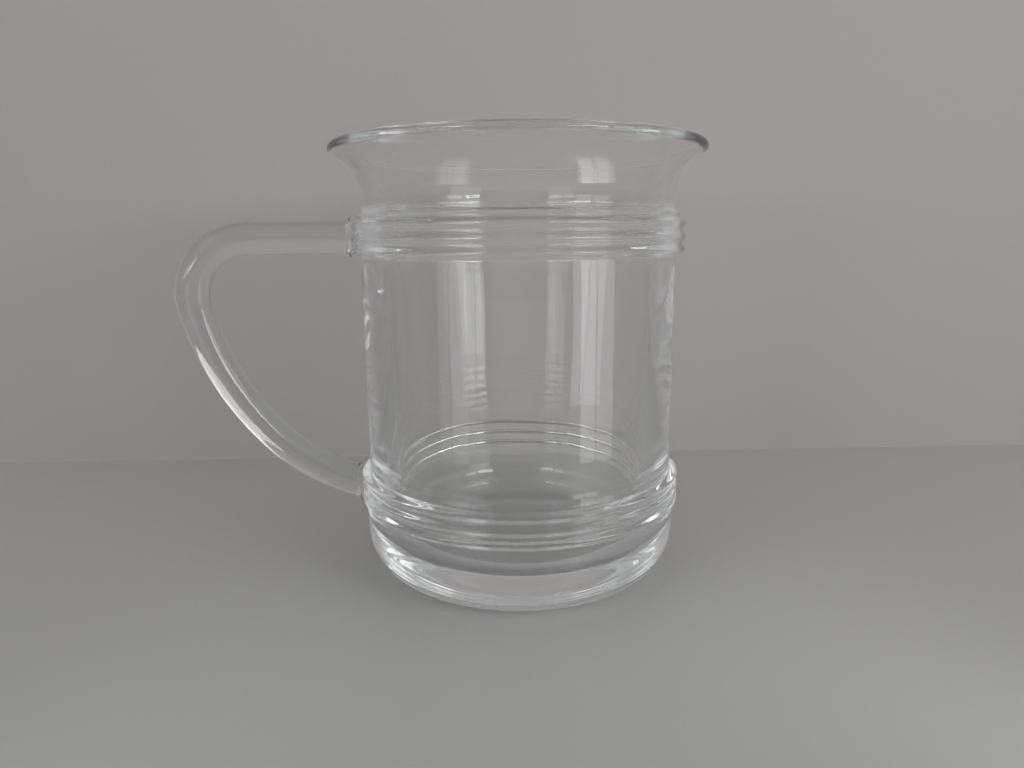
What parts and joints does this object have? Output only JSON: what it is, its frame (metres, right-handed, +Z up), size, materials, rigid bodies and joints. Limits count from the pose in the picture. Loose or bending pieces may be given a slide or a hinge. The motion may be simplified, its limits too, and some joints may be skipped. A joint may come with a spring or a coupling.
{
  "type": "handled glass beaker",
  "caption": "Clear drinking beaker with a flared rounded lip, rib bands near neck and foot, a thick solid floor and a bent rod handle bonded to the bands.",
  "frame": {"origin": "centre of the cup's flat resting face", "axes": "+Z up along the cup's axis, the handle points to -X"},
  "size_m": [0.1226, 0.0878, 0.103],
  "materials": {
    "cup_glass": "clear, fire-polished",
    "rod_glass": "clear, slightly hazy solid rod"
  },
  "bodies": {
    "root": {"body": "cup_glass", "handle": "rod_glass"}
  },
  "joints": []
}
